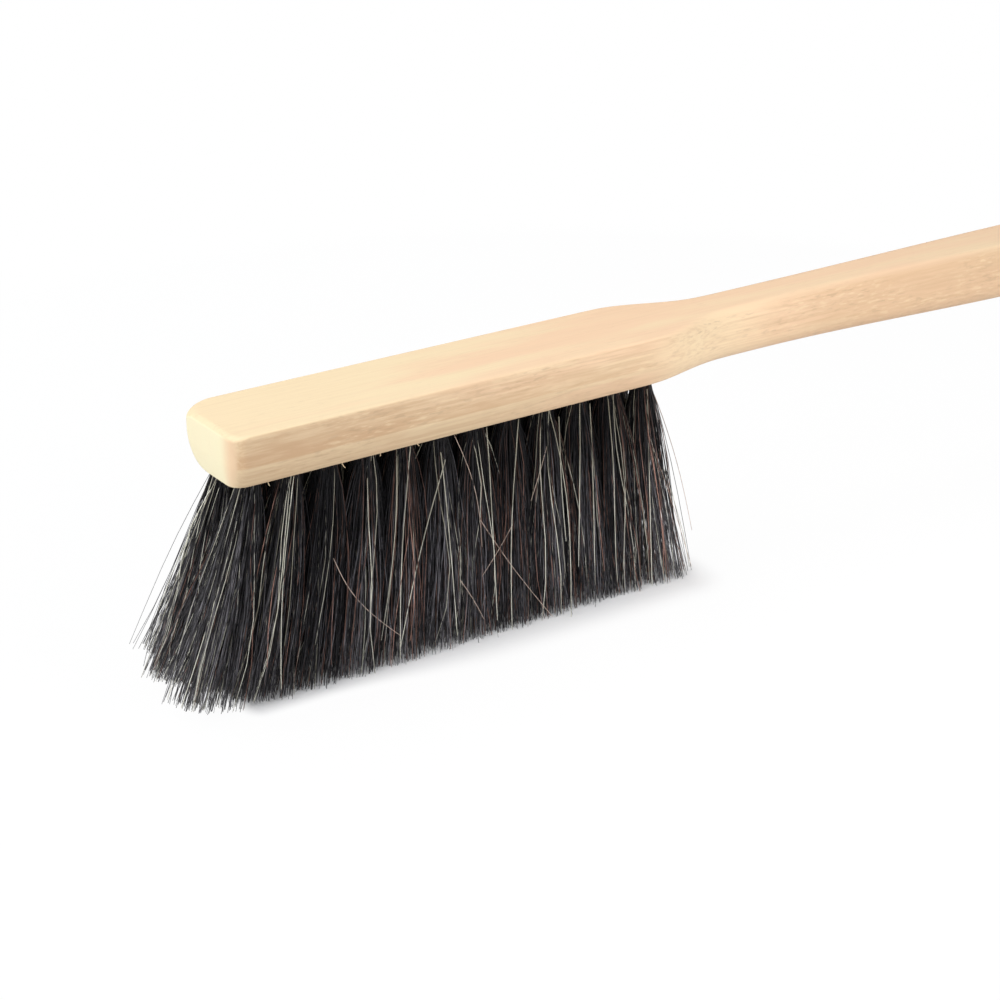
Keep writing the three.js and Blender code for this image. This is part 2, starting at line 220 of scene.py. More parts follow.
class Finishes(PropertyGroup):
    """Colours of wood, fibres, wire and floor."""
    # Cream also stands for painted light on the neck's sides and along the bevel's upper edge
    beech_cream: colour("Cream beech", "Palest bands of the wood", (0.93, 0.745, 0.475))
    beech_peach: colour("Peach beech", "Warmer bands of the wood", (0.92, 0.645, 0.42))
    # Tan also stands for painted shade on the flanks and the handle's sides
    beech_tan: colour("Tan beech", "Late wood and flanks", (0.67, 0.437, 0.252))
    beech_end: colour("End grain", "Pale wood across the front", (0.935, 0.885, 0.615))
    beech_fleck: colour("Ray flecks", "Short dark dashes of the wood", (0.47, 0.31, 0.185))
    black_deep: colour("Black, deep", "Darkest black fibre", (0.006, 0.0055, 0.007))
    black_pale: colour("Black, pale", "Palest black fibre", (0.325, 0.312, 0.338))
    brown_deep: colour("Brown, deep", "Darkest brown fibre", (0.03, 0.014, 0.01))
    brown_pale: colour("Brown, pale", "Palest brown fibre", (0.54, 0.30, 0.235))
    tan_deep: colour("Tan, deep", "Darkest tan fibre", (0.15, 0.095, 0.07))
    tan_pale: colour("Tan, pale", "Palest tan fibre", (0.80, 0.62, 0.51))
    straw_deep: colour("Straw, deep", "Darkest straw-coloured fibre", (0.26, 0.23, 0.16))
    straw_pale: colour("Straw, pale", "Palest straw-coloured fibre", (0.96, 0.94, 0.79))
    steel: colour("Steel", "Flat wire of the anchors", (0.60, 0.61, 0.63))
    steel_marks: colour("Steel marks", "Lengthwise marks of the wire", (0.4, 0.4, 0.42))
    floor: colour("Floor", "Pale studio floor", (0.62, 0.62, 0.63))
    floor_seen: colour("Floor, seen", "Floor where the camera or gloss sees it", (0.98, 0.98, 0.98))


class Studio(PropertyGroup):
    """Camera and light. The camera's point is measured from the head's front, middle and underside."""
    lens: FloatProperty(name="Lens", description="Focal length", default=86.4, unit="CAMERA")
    turn: angle("Turn", "Camera's turn about the upright axis", -34.64)
    tilt: angle("Tilt", "Camera's height above the horizon", 23.44)
    distance: length("Distance", "Camera to the point that it looks at", 841.1 * MM)
    look: lengths("Look", "Point that the camera looks at: along, across and up",
                  (75.4 * MM, -75.1 * MM, -1.8 * MM))
    sky: colour("Sky", "Even light from all round", (0.205, 0.215, 0.24))
    floor_glow: ratio("Floor glow", "Share of plain white in the floor that the camera sees", 0.95)


def settings(context):
    """The four groups of settings that the operators read."""
    scene = context.scene
    return scene.wash_stock, scene.wash_tufts, scene.wash_finishes, scene.wash_studio


NO_TRIANGLES = np.zeros((0, 3), int)


def make_piece(name, material, points, quads, triangles=NO_TRIANGLES):
    """A mesh object at the origin from arrays of points, quads and triangles, with smooth faces."""
    corners = np.concatenate([quads.ravel(), triangles.ravel()]).astype(np.int32)
    quad_starts = np.arange(len(quads)) * 4
    triangle_starts = len(quads) * 4 + np.arange(len(triangles)) * 3
    starts = np.concatenate([quad_starts, triangle_starts]).astype(np.int32)
    mesh = bpy.data.meshes.new(name)
    mesh.vertices.add(len(points))
    mesh.vertices.foreach_set("co", points.astype(np.float32).ravel())
    mesh.loops.add(len(corners))
    mesh.loops.foreach_set("vertex_index", corners)
    mesh.polygons.add(len(starts))
    mesh.polygons.foreach_set("loop_start", starts)
    mesh.polygons.foreach_set("use_smooth", np.ones(len(starts), bool))
    mesh.update(calc_edges=True)
    if mesh.validate():
        raise RuntimeError(f"{name} has faulty faces")
    piece = bpy.data.objects.new(name, mesh)
    bpy.context.scene.collection.objects.link(piece)
    mesh.materials.append(material)
    return piece


def grid_quads(rows, columns, closed=False):
    """Quads of a grid of points, row by row. A closed grid joins its last column to its first."""
    row = np.arange(rows - 1)[:, None]
    column = np.arange(columns if closed else columns - 1)[None, :]
    beside = (column + 1) % columns
    corners = [row * columns + column, (row + 1) * columns + column,
               (row + 1) * columns + beside, row * columns + beside]
    return np.stack(corners, axis=-1).reshape(-1, 4)


def weld(piece, sharp=None):
    """Joins points that coincide, and marks edges sharper than an angle."""
    work = bmesh.new()
    work.from_mesh(piece.data)
    bmesh.ops.remove_doubles(work, verts=work.verts, dist=WELD_REACH)
    work.to_mesh(piece.data)
    work.free()
    if sharp is not None:
        piece.data.set_sharp_from_angle(angle=sharp)


def carry(piece, slot, *nodes):
    """The piece rides on the brush's one body and stands for the named nodes; the slot is not used."""
    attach(piece, BODY)
    if nodes:
        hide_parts(*nodes)


def ease(x, start, end):
    """Smooth step: 0 up to start, 1 from end on, and 3 t squared less 2 t cubed between them."""
    t = np.clip((x - start) / (end - start), 0, 1)
    return t * t * (3 - 2 * t)


def between(a, b, share):
    """The value a share of the way from a to b."""
    return a + (b - a) * share


def stock_side(x, worn, s):
    """One side of the stock's section at each x, from the underside to the top, as the shares of the lower
    and the upper inset and the height.

    The lower corner is a quarter of a superellipse, the flank is straight, and the upper corner is a
    quarter of an ellipse. Corner heights pass from the head's to the handle's along the shoulders. Where
    the edges are worn, from 0 to 1, both corners are taller and the lower one is rounder."""
    x, worn = x[:, None], worn[:, None]
    grip = ease(x, s.grip_start, s.grip_end)
    neck = ease(x, s.shoulder_start, s.shoulder_end)
    swell = ease(x, s.swell_start, s.swell_end)
    low = s.top - between(s.head_thick, s.neck_thick, neck) - s.swell_thick * swell
    low_up = between(s.bevel_up, s.grip_low_up, grip) * (1 + s.worn_up * worn)
    top_down = between(s.top_edge, s.grip_top_down, grip) * (1 + s.worn_down * worn)
    power = 2 / between(s.bevel_power, 2, np.maximum(grip, worn))
    turn = np.linspace(0, QUARTER, EDGE_STEPS + 1)[None, :]
    sine, cosine = np.sin(turn), np.clip(np.cos(turn), 0, 1)
    flank = np.linspace(0, 1, FLANK_STEPS + 2)[None, 1:-1]
    still = np.zeros_like(x)
    lower = [1 - sine ** power, still * flank, still * turn]
    upper = [still * turn, still * flank, still + 1 - cosine]
    height = [low + low_up * (1 - cosine ** power),
              between(low + low_up, s.top - top_down, flank),
              s.top - top_down * (1 - sine)]
    return (np.concatenate(part, axis=1) for part in (lower, upper, height))


def stock_half(x, s):
    """Half width of the stock at each x: the head, drawn in to the neck, and the swell of the handle."""
    neck = ease(x, s.shoulder_start, s.shoulder_end)
    return between(s.head_half, s.neck_half, neck) + s.swell_half * ease(x, s.swell_start, s.swell_end)


def front_arc(turn, radius, front_in, side_in, s):
    """Plan of a front corner: an arc of the radius, set in from the front face and from the side."""
    return np.stack([front_in + radius * (1 - np.cos(turn)),
                     s.head_half - side_in - radius * (1 - np.sin(turn))], axis=-1)


def straight_back(x, turn, inset, s):
    """Plan of the stock behind its front corners, set in against the direction that the outline faces."""
    butt_x = s.overall - s.butt_corner
    along = np.where(turn > QUARTER, butt_x - s.butt_corner * np.cos(turn), x)
    half = stock_half(np.minimum(x, butt_x), s) - s.butt_corner * (1 - np.sin(turn))
    return np.stack([along + inset * np.cos(turn), half - inset * np.sin(turn)], axis=-1)


def stock_points(s):
    """Near and far sides of the stock as grids of rings by heights.

    The outlines at mid height, underneath and on top are each a front corner, the body and the butt in
    plan, ring by ring. A height lies between them by its shares of the lower and the upper inset. The far
    front corner is worn by the sine of twice its turn."""
    front = np.linspace(0, QUARTER, CORNER_RINGS + 1)
    butt_turn = np.linspace(QUARTER, 2 * QUARTER, BUTT_RINGS + 1)
    butt_x = s.overall - s.butt_corner
    body = np.linspace(s.front_low_in + max(s.far_corner), butt_x, BODY_RINGS + 2)[1:-1]
    behind = np.concatenate([body, np.full_like(butt_turn, butt_x)])
    turn = np.concatenate([np.full_like(body, QUARTER), butt_turn])
    grip = ease(behind, s.grip_start, s.grip_end)
    insets = (np.zeros_like(behind), between(s.bevel_in, s.grip_low_in, grip),
              between(s.top_edge, s.grip_top_in, grip))
    edges = ((0, 0), (s.front_low_in, s.bevel_in), (s.front_top_in, s.top_edge))
    station = np.concatenate([np.zeros_like(front), behind])
    sides = []
    for side, radii, worn in ((-1, s.near_corner, 0), (1, s.far_corner, 1)):
        wear = np.concatenate([worn * np.sin(2 * front), np.zeros_like(behind)])
        lower, upper, height = stock_side(station, wear, s)
        mid, low, top = (np.concatenate([front_arc(front, radius, *edge, s),
                                         straight_back(behind, turn, inset, s)])[:, None]
                         for radius, edge, inset in zip(radii, edges, insets))
        plan = mid + lower[..., None] * (low - mid) + upper[..., None] * (top - mid)
        sides.append(np.stack([STOCK_LOW.x + plan[..., 0], side * plan[..., 1], height], axis=-1))
    return sides


def stock_skin(s, material):
    """The stock as one closed skin: rings of near side, back, far side and underside, and two end caps."""
    near, far = stock_points(s)
    share = (1 - np.cos(np.linspace(0, math.pi, ACROSS_STEPS)))[None, :, None] / 2
    top = between(near[:, -1:], far[:, -1:], share[:, 1:-1])
    under = between(far[:, :1], near[:, :1], share[:, 1:-1])
    rings = np.concatenate([near, top, far[:, ::-1], under], axis=1)
    front = between(near[0][:, None], far[0][:, None], share)
    butt = between(near[-1][:, None], far[-1][:, None], share)
    points = [patch.reshape(-1, 3) for patch in (rings, front, butt)]
    skin = grid_quads(*rings.shape[:2], closed=True)
    cap = grid_quads(*front.shape[:2])
    quads = [skin, cap + len(points[0]), cap[:, ::-1] + len(points[0]) + len(points[1])]
    piece = make_piece("beech_stock", material, np.concatenate(points), np.concatenate(quads))
    weld(piece)
    return piece


def turned(name, profile, centres, sides, material):
    """A profile of radius and height, from the axis and back to it, revolved about upright centre lines."""
    radius, height = np.array(profile).T[:, None, :, None]
    turn = np.linspace(0, 4 * QUARTER, sides, endpoint=False)[None, None, :]
    x = centres[:, 0, None, None] + radius * np.cos(turn)
    y = centres[:, 1, None, None] + radius * np.sin(turn)
    points = np.stack(np.broadcast_arrays(x, y, height), axis=-1)
    ring = grid_quads(len(profile), sides, closed=True)[:, ::-1]
    starts = np.arange(len(centres))[:, None, None] * len(profile) * sides
    quads = (ring[None] + starts).reshape(-1, 4)
    piece = make_piece(name, material, points.reshape(-1, 3), quads)
    weld(piece)
    return piece


def cut(piece, cutter):
    """Takes the cutter's solid out of the piece, and removes the cutter."""
    modifier = piece.modifiers.new("drill", "BOOLEAN")
    modifier.operation = "DIFFERENCE"
    modifier.solver = "EXACT"
    modifier.object = cutter
    shaped = bpy.data.meshes.new_from_object(piece.evaluated_get(bpy.context.evaluated_depsgraph_get()))
    piece.modifiers.clear()
    old, piece.data = piece.data, shaped
    bpy.data.meshes.remove(old)
    bpy.data.objects.remove(cutter)


def note_facing(piece):
    """Keeps each point's outward direction in an attribute, for finishes that differ from side to side."""
    mesh = piece.data
    normals = np.zeros(len(mesh.vertices) * 3, np.float32)
    mesh.vertices.foreach_get("normal", normals)
    mesh.attributes.new("facing", "FLOAT_VECTOR", "POINT").data.foreach_set("vector", normals)


def tuft_centres(t):
    """Centre of every tuft, row by row: every second row has one tuft fewer, half a pitch along."""
    rows = []
    for row in range(len(ROWS)):
        shifted = row % 2
        x = t.first + (np.arange(t.tufts - shifted) + shifted / 2) * t.pitch
        y = np.full_like(x, (row - (len(ROWS) - 1) / 2) * t.row_pitch)
        rows.append(np.stack([x + STOCK_LOW.x, y], axis=-1))
    return rows


def sweep(x, y, row, t):
    """How far a row's fibres, rooted at x, y, are carried by their tips.

    Forwards by a lean that dies away from the front, backwards by one that dies away from the rear, and
    outwards in proportion to the distance from the middle line."""
    x = x - STOCK_LOW.x
    last = t.first + (t.tufts - 1) * t.pitch
    lean = t.front_lean - t.front_back[row]
    forwards = lean * np.exp((t.first - x) / t.front_reach) + t.settle * (1 - x / last)
    backwards = t.rear_lean * np.exp((x - last) / t.rear_reach)
    return np.stack([backwards - forwards, t.side_spread * y], axis=-1)


def tuft_painted_shade_and_tone(row, tuft, across, t, rng):
    """Share of its shade that each fibre keeps in its tuft: painted shade from the tufts round it, and a
    chance tone.

    It falls with the square of the fibre's place along the row, as painted shade where the next tufts face
    it, is less in tufts that have others all round them, as painted shade where they are hidden, and each
    tuft has a chance factor of its own."""
    last = tuft.max()
    inner = (tuft > 0) & (tuft < last) & (0 < row < len(ROWS) - 1)
    chance = np.clip(rng.normal(1, t.tuft_tone, last + 1)[tuft], *TUFT_TONES)
    return np.where(inner, t.painted_inner_shade, 1) * (1 - t.painted_side_shade * across ** 2) * chance


def fibre_paths(row, centres, number, mix, t, rng):
    """Centre lines of one kind of fibre in a row, as fibres by rings by three, and the share of shade they
    keep, painted shade and chance tone.

    Tufts take unequal shares of the fibres, by gamma weights. Places in a square, drawn in to a disc, are
    the roots in a hole, and the square itself is the tuft at the trim. A fibre leaves its hole straight,
    spreads towards its place in the square, leans with the trim and scatters. It bows by half a sine wave
    and swings to and fro by a whole one. Its tip is cut level near the floor, or ends above it where the
    fibre leans too far to reach."""
    weights = np.interp(np.linspace(0, 1, len(centres)), (0, 0.5, 1), mix["weights"])
    weights = weights * rng.gamma(mix["evenness"], 1, len(centres))
    total = number * len(centres)
    tuft = rng.choice(len(centres), total, p=weights / weights.sum())
    centre = centres[tuft]
    square = rng.uniform(-1, 1, (total, 2))
    out = t.tuft_radius * square * np.sqrt(1 - square[:, ::-1] ** 2 / 2)
    root = centre + out
    lean = sweep(root[:, 0], root[:, 1], row, t)
    stray = np.clip(rng.laplace(0, STRAY_SPREAD, (total, 2)), -STRAY_LIMIT, STRAY_LIMIT)
    stray = stray * np.array(t.scatter) * mix["wildness"]
    stray = stray + np.array(t.tuft_spread) * t.tuft_radius * square
    bow = rng.normal(0, t.bow * mix["wildness"], (total, 2))
    wave = rng.normal(0, t.wave * mix["wildness"], (total, 2))
    uneven = np.abs(rng.normal(0, t.uneven, total))
    broken = rng.uniform(0, BROKEN_MOST, total) * (rng.uniform(0, 1, total) < BROKEN_SHARE)
    reach = lean + stray
    drop = np.sqrt((t.fibre - broken) ** 2 - np.sum(reach ** 2, axis=-1))
    tip = np.maximum(t.trim - drop, uneven + broken)
    share = np.array(FIBRE_SHARES)[None, :, None]
    free = np.clip(share, 0, 1)
    flat = root[:, None] + lean[:, None] * free ** t.sweep_power + stray[:, None] * free ** t.spread_power
    flat = flat + bow[:, None] * np.sin(math.pi * free)
    flat = flat + wave[:, None] * np.sin(2 * math.pi * free)
    height = t.trim - (t.trim - tip)[:, None, None] * share
    paths = np.concatenate([flat, np.broadcast_to(height, flat.shape[:2] + (1,))], axis=-1)
    return paths, tuft_painted_shade_and_tone(row, tuft, square[:, 0], t, rng)


def fibre_tubes(name, paths, radius, tone, material):
    """Three-sided tubes round centre lines, drawn in towards their tips and closed at both ends.

    The section's axes are square to the line: the first is the line's direction crossed with the y axis,
    the second is the line's direction crossed with the first."""
    fibres, rings = paths.shape[:2]
    run = np.gradient(paths, axis=1)
    run /= np.linalg.norm(run, axis=-1, keepdims=True)
    first = np.cross(run, np.array([0.0, 1.0, 0.0]))
    first /= np.linalg.norm(first, axis=-1, keepdims=True)
    second = np.cross(run, first)
    turn = np.linspace(0, 4 * QUARTER, FIBRE_SIDES, endpoint=False)[None, None, :, None]
    taper = np.linspace(1, TIP_TAPER, rings)
    wide = (radius[:, None] * taper[None, :])[:, :, None, None]
    out = first[:, :, None] * np.cos(turn) + second[:, :, None] * np.sin(turn)
    points = paths[:, :, None] + wide * out
    one = grid_quads(rings, FIBRE_SIDES, closed=True)
    caps = np.array([[0, 1, 2], [2, 1, 0]]) + np.array([[0], [(rings - 1) * FIBRE_SIDES]])
    starts = (np.arange(fibres) * rings * FIBRE_SIDES)[:, None, None]
    piece = make_piece(name, material, points.reshape(-1, 3), (one[None] + starts).reshape(-1, 4),
                       (caps[None] + starts).reshape(-1, 3))
    along = np.broadcast_to(np.linspace(0, 1, rings)[None, :, None], (fibres, rings, FIBRE_SIDES))
    tones = np.broadcast_to(tone[:, None, None], along.shape)
    for attribute, values in (("tone", tones), ("along", along)):
        data = piece.data.attributes.new(attribute, "FLOAT", "POINT").data
        data.foreach_set("value", values.astype(np.float32).ravel())
    return piece


# Single fibres that lie on the near face of the trim, in millimetres: the distance from the front face and
# the depth below the head at both ends, and the bow between them
LAID_STRAW = (
    (89.6, 9, 60, 73, -1.0), (185.5, 2, 177.6, 79, 0.5), (157.5, 2, 150.4, 72, 0.8),
    (124, 1, 109.6, 79, -1.2), (109.3, 1, 103.6, 74, 0.6), (88, 6, 85, 75, 0.8),
    (75.3, 1, 59.1, 77, -1.0), (142.5, 4, 139.5, 52, -0.5), (152.7, 1, 143.8, 63, 0.6),
    (25.7, 1, 8.5, 75, -1.5),
)
LAID_TAN = (
    (37.4, 34, 60.8, 69, -4.0), (94.8, 1, 101.2, 45, 3.0), (101.9, 35, 128.7, 79, -1.0),
    (116, 40, 99.5, 56, 0.5), (89.6, 55, 97.7, 72, 0.5), (135.3, 14, 125.5, 33, 0.4),
    (188.7, 5, 200.5, 62, 2.0), (184, 20, 198, 76, 1.0),
)

# The kind, the places and the radius of each group of them, the range of their shades, how far they stand
# out from the trim and the share of the trim over which they come out
LAID = {"laid_straw": ("straw", LAID_STRAW, 0.26 * MM), "laid_tan": ("tan", LAID_TAN, 0.17 * MM)}
LAID_TONES = (0.8, 1.0)
LAID_PROUD = 0.8 * MM
LAID_RISE = 0.2


def laid_paths(places, t):
    """Centre lines of single fibres on the near face of the trim, which slopes outwards as it goes down."""
    x0, down0, x1, down1, bow = (np.array(places) * MM).T[:, :, None]
    share = np.linspace(0, 1, LAID_RINGS)[None, :]
    x = STOCK_LOW.x + between(x0, x1, share) + bow * np.sin(math.pi * share)
    down = between(down0, down1, share)
    fall = down / t.trim
    outermost = (len(ROWS) - 1) / 2 * t.row_pitch + t.tuft_radius
    opened = t.tuft_spread[1] * t.tuft_radius * fall ** t.spread_power
    opened = opened + LAID_PROUD * ease(fall, 0, LAID_RISE)
    y = -outermost * (1 + t.side_spread * fall ** t.sweep_power) - opened
    return np.stack([x, y, t.trim - down], axis=-1)


# Whiskers of wood on the head's near lower edge, in millimetres: the distance from the front face, how far
# they hang and how far they lie along the brush. Then their radius, how far inside the edge they begin, and
# how far they stand out for each millimetre that they hang
SPLINTERS = ((14.5, 1.5, 0.3), (45.1, 2.0, 1.0), (61.6, 1.1, -0.4), (77.5, 1.0, 0.8))
SPLINTER_RADIUS = 0.25 * MM
SPLINTER_ROOT = 0.4 * MM
SPLINTER_SLANT = 0.5


def splinter_paths(s):
    """Centre lines of the whiskers: from just inside the lower edge, hanging down and a little outwards."""
    x, drop, along = (np.array(SPLINTERS) * MM).T[:, :, None]
    share = np.linspace(0, 1, SPLINTER_RINGS)[None, :]
    y = SPLINTER_ROOT + s.bevel_in - s.head_half - SPLINTER_SLANT * drop * share
    z = s.top - s.head_thick + SPLINTER_ROOT - (drop + SPLINTER_ROOT) * share
    return np.stack([STOCK_LOW.x + x + along * share ** 2, y, z], axis=-1)


def feed(tree, node, inputs):
    """Links a node's inputs to sockets or gives them values."""
    for name, value in inputs.items():
        if isinstance(value, NodeSocket):
            tree.links.new(value, node.inputs[name])
        else:
            node.inputs[name].default_value = value


def add(tree, kind, inputs=None, **values):
    """A new node with its properties set and its inputs fed."""
    node = tree.nodes.new(kind)
    for name, value in values.items():
        setattr(node, name, value)
    feed(tree, node, inputs or {})
    return node


def maths(tree, operation, a, b=0.0, *more):
    """Numbers or sockets put together by one operation, from left to right."""
    result = add(tree, "ShaderNodeMath", {0: a, 1: b}, operation=operation).outputs[0]
    for value in more:
        result = maths(tree, operation, result, value)
    return result


def vector_maths(tree, operation, a, b=(0, 0, 0)):
    """One operation on two places."""
    return add(tree, "ShaderNodeVectorMath", {0: a, 1: b}, operation=operation).outputs[0]


def millimetres(tree):
    """Places on the piece in millimetres."""
    place = add(tree, "ShaderNodeTexCoord").outputs["Object"]
    return vector_maths(tree, "MULTIPLY", place, (1 / MM, 1 / MM, 1 / MM))


def fade(tree, value, low, high, start=0.0, end=1.0):
    """A smooth change from start to end as the value goes from low to high."""
    limits = {"Value": value, "From Min": low, "From Max": high, "To Min": start, "To Max": end}
    return add(tree, "ShaderNodeMapRange", limits, interpolation_type="SMOOTHSTEP").outputs[0]


def blend(tree, share, a, b):
    """Two colours mixed by a share."""
    a = a if isinstance(a, NodeSocket) else (*a, 1)
    b = b if isinstance(b, NodeSocket) else (*b, 1)
    return add(tree, "ShaderNodeMix", {0: share, 6: a, 7: b}, data_type="RGBA").outputs[2]


def grain(tree, place, stretch, detail=2.0, roughness=0.5):
    """Noise over places, with so many grains to the unit of length along each axis."""
    scaled = vector_maths(tree, "MULTIPLY", place, stretch)
    noise = {"Vector": scaled, "Scale": 1.0, "Detail": detail, "Roughness": roughness}
    return add(tree, "ShaderNodeTexNoise", noise).outputs["Fac"]


def new_material(name):
    """A material, its node tree and its shader."""
    material = bpy.data.materials.new(name)
    material.use_nodes = True
    return material, material.node_tree, material.node_tree.nodes["Principled BSDF"]


# Noises of the beech: grains to the millimetre along, across and up, and the noise's detail and roughness
GRAINS = {
    "bands": ((0.011, 0.075, 0.075), 2.0, 0.5),
    "mottle": ((0.05, 0.6, 0.6), 3.0, 0.6),
    "patches": ((0.022, 0.10, 0.10), 2.0, 0.5),
    "dashes": ((0.17, 0.85, 0.85), 2.0, 0.5),
    "streaks": ((0.022, 0.9, 0.9), 3.0, 0.6),
    "pores": ((0.5, 5.0, 5.0), 2.0, 0.6),
}

# Changes of the beech's finish, from start to end as what they go by runs from low to high. A start that
# isn't given is 0, and an end 1
BEECH = {
    # By the direction that the wood faces, as shares of straight ahead, sideways or up
    # Painted shade: faces that turn sideways take tan, and faces that turn down keep less of it, as painted
    # light from the floor
    "side": dict(low=0.35, high=0.9),
    "side_above": dict(low=-0.3, high=-0.1, start=0.6),
    # Painted shade on the handle's sides
    "grip_side": dict(low=0.1, high=0.7, end=0.55),
    "end_face": dict(low=-0.72, high=-1.0, end=0.75),
    # Painted shade: the end turns peach and tan towards its near corner, leading into the flanks' painted
    # shade
    "near_end_face": dict(low=-0.6, high=-0.95),
    # By the place along the brush, in millimetres
    "rear_warmth": dict(low=-190, high=10, end=0.85),
    "front_tan": dict(low=-40, high=-200, end=0.45),
    "head": dict(low=0, high=-40),
    "shoulders": dict(low=-35, high=-5, start=1.0, end=0.25),
    "behind_neck": dict(low=5, high=40, start=0.25, end=0.75),
    # Painted light: the neck's sides are paler, where they turn up towards the lamps
    "neck_front": dict(low=-35, high=-8, end=0.6),
    "neck_rear": dict(low=50, high=12),
    "grip": dict(low=20, high=90),
    # By the place across it
    "far_warmth": dict(low=-14, high=16, end=0.18),
    # The end is less pale towards its near corner, as painted shade
    "end_paleness": dict(low=-19, high=-9, start=0.3),
    "end_warmth": dict(low=-11, high=-20, end=0.75),
    # By the height, and by the distance from the bevel's upper edge, along which a line of painted
    # highlight runs
    "below_top": dict(low=97, high=90, end=0.36),
    "bevel_line": dict(low=1.2, high=0.2, end=0.5),
    # By the noises, and by shares made of the ones above
    "bands": dict(low=0.25, high=0.75, start=-0.45, end=0.45),
    "warmth": dict(low=0.0, high=0.95),
    "mottle": dict(low=0.35, high=0.65, end=0.36),
    "roughness": dict(low=0.3, high=0.7, start=0.6, end=0.72),
    "streaks": dict(low=0.40, high=0.72),
    "streaked": dict(low=0, high=2, start=0.12, end=0.5),
    "patches": dict(low=0.35, high=0.65),
    "flecked": dict(low=0, high=1, start=0.13, end=0.55),
    "dark_dashes": dict(low=0.55, high=0.68, end=0.6),
    "pale_dashes": dict(low=0.46, high=0.30, end=0.75),
    "pores": dict(low=0.60, high=0.80, end=0.12),
}

# Height of the bevel's upper edge in millimetres, along which a line of painted highlight runs, tan as
# painted shade in the warm end by the near corner, and the depths of pores and streaks and the bump that
# they make
BEVEL_LINE = 87.6
NEAR_END_TAN = 0.35
PORE_DEPTH = 0.6
STREAK_DEPTH = 0.4
BEECH_BUMP = {"Strength": 0.25, "Distance": 0.12 * MM}


def beech(c):
    """Planed beech: broad bands of cream and peach on the back, and mottled, flecked flanks darkened by
    painted shade.

    Coats of other colours go over the bands one after the other, each by its share. Some of them are
    painted light and shade: tan on the flanks and the handle's sides, cream on the neck's sides and along
    the bevel's upper edge, and peach and tan at the near corner of the end."""
    material, tree, shader = new_material("beech")
    place = millimetres(tree)
    x, y, z = add(tree, "ShaderNodeSeparateXYZ", {0: place}).outputs
    facing = add(tree, "ShaderNodeAttribute", attribute_name="facing").outputs["Vector"]
    ahead, across, up = add(tree, "ShaderNodeSeparateXYZ", {0: facing}).outputs
    noise = {name: grain(tree, place, *values) for name, values in GRAINS.items()}

    def change(name, value):
        return fade(tree, value, **BEECH[name])

    def times(*shares):
        return maths(tree, "MULTIPLY", *shares)

    def plus(*shares):
        return maths(tree, "ADD", *shares)

    # The flanks' tan is painted shade with the wood's mottle in it, darker towards the front and lower down
    sideways = maths(tree, "ABSOLUTE", across)
    side = times(change("side", sideways), change("side_above", up))
    plain = maths(tree, "MAXIMUM", change("shoulders", x), change("behind_neck", x))
    flank = times(side, plain)
    head = change("head", x)
    warm = plus(change("rear_warmth", x), change("far_warmth", y), change("bands", noise["bands"]))
    below_top = times(change("below_top", z), head)
    tan = plus(change("front_tan", x), below_top, change("mottle", noise["mottle"]))
    bevel = maths(tree, "ABSOLUTE", maths(tree, "SUBTRACT", z, BEVEL_LINE))
    flecked = times(change("patches", noise["patches"]), change("flecked", side))
    # Painted shade at the near corner of the end
    near_end_painted_shade = times(change("near_end_face", ahead), change("end_warmth", y))
    coats = (
        (times(flank, tan), c.beech_tan),
        (times(change("grip", x), change("grip_side", sideways)), c.beech_tan),
        # painted light on the neck's sides
        (times(change("neck_front", x), change("neck_rear", x), sideways), c.beech_cream),
        (times(change("streaks", noise["streaks"]), change("streaked", plus(flank, side))), c.beech_tan),
        # painted highlight along the bevel's upper edge
        (times(change("bevel_line", bevel), head, flank), c.beech_cream),
        (times(flecked, change("dark_dashes", noise["dashes"])), c.beech_fleck),
        (times(flecked, change("pale_dashes", noise["dashes"])), c.beech_cream),
        (change("pores", noise["pores"]), c.beech_fleck),
        (times(change("end_face", ahead), change("end_paleness", y)), c.beech_end),
        (near_end_painted_shade, c.beech_peach),
        (times(near_end_painted_shade, NEAR_END_TAN), c.beech_tan),
    )
    wood = blend(tree, change("warmth", warm), c.beech_cream, c.beech_peach)
    for share, coat in coats:
        wood = blend(tree, share, wood, coat)
    height = plus(times(noise["pores"], PORE_DEPTH), times(noise["streaks"], STREAK_DEPTH))
    bump = add(tree, "ShaderNodeBump", {"Height": height, **BEECH_BUMP}).outputs["Normal"]
    rough = change("roughness", noise["mottle"])
    feed(tree, shader, {"Base Color": wood, "Roughness": rough, "Normal": bump, "IOR": 1.45})
    return material


# Changes of the fibres' shade by metres along the brush: at the front roots, the rear roots and all of the
# rear. Then by the way from root to tip, and by noise with so many grains to the metre, the glint. Last, of
# the roughness by the tone. The dark roots are painted shade under the head, the paler front roots a
# painted sheen, and the glint a painted highlight
FRONT_ROOTS = dict(low=-0.21, high=-0.16, start=3.4)
REAR_ROOTS = dict(low=-0.12, high=-0.05, start=1.0, end=0.3)
REAR_SHADE = dict(low=-0.10, high=-0.03, start=1.0, end=1.3)
TIP_SHADE = dict(low=0.17, high=1.0, end=1.55)
GLINT_GRAIN = (600, 600, 60)
GLINT = dict(low=0.35, high=0.65, start=-1.0)
FIBRE_ROUGHNESS = dict(low=0, high=1, start=0.34, end=0.5)


